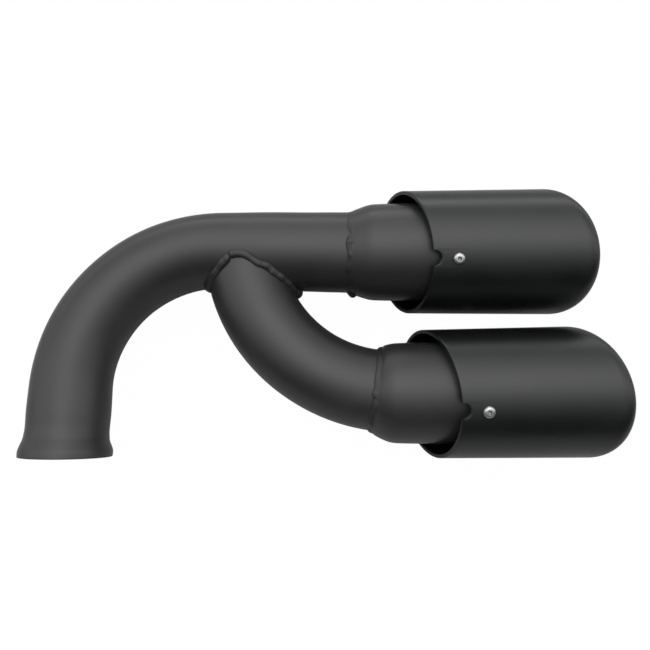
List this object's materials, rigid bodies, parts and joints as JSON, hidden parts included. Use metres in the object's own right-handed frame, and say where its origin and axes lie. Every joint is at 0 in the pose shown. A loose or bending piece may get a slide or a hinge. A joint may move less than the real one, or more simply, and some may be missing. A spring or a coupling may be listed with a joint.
{
  "type": "exhaust tailpipe with twin tips",
  "caption": "Bent black exhaust tailpipe with a welded branch, ending in two parallel slash-cut round tips with rolled-in lips; the far end is a flared slip-on inlet.",
  "frame": {"origin": "centre of the inlet's mouth, on the inlet bore's axis and in its end plane", "axes": "+X the way both tips point, -Y the way the inlet opens (one degree off), +Z square to the plane of the tubes, up as the part lies"},
  "size_m": [0.4597, 0.216, 0.101],
  "materials": {
    "pipe_black": "matte black high-temperature coating on steel tube",
    "weld_black": "rippled weld bead under matte black coating",
    "tip_black": "satin black coating",
    "boss_black": "matte black coated threaded boss",
    "screw_steel": "bright stainless button-head screw"
  },
  "bodies": {
    "root": {"main_pipe": "pipe_black", "branch_pipe": "pipe_black", "branch_weld": "weld_black", "upper_sleeve": "pipe_black", "upper_sleeve_weld": "weld_black", "upper_tip": "tip_black", "upper_boss_1": "boss_black", "upper_boss_2": "boss_black", "upper_boss_3": "boss_black", "upper_screw_1": "screw_steel", "upper_screw_2": "screw_steel", "upper_screw_3": "screw_steel", "lower_sleeve": "pipe_black", "lower_sleeve_weld": "weld_black", "lower_tip": "tip_black", "lower_boss_1": "boss_black", "lower_boss_2": "boss_black", "lower_boss_3": "boss_black", "lower_screw_1": "screw_steel", "lower_screw_2": "screw_steel", "lower_screw_3": "screw_steel"}
  },
  "joints": []
}
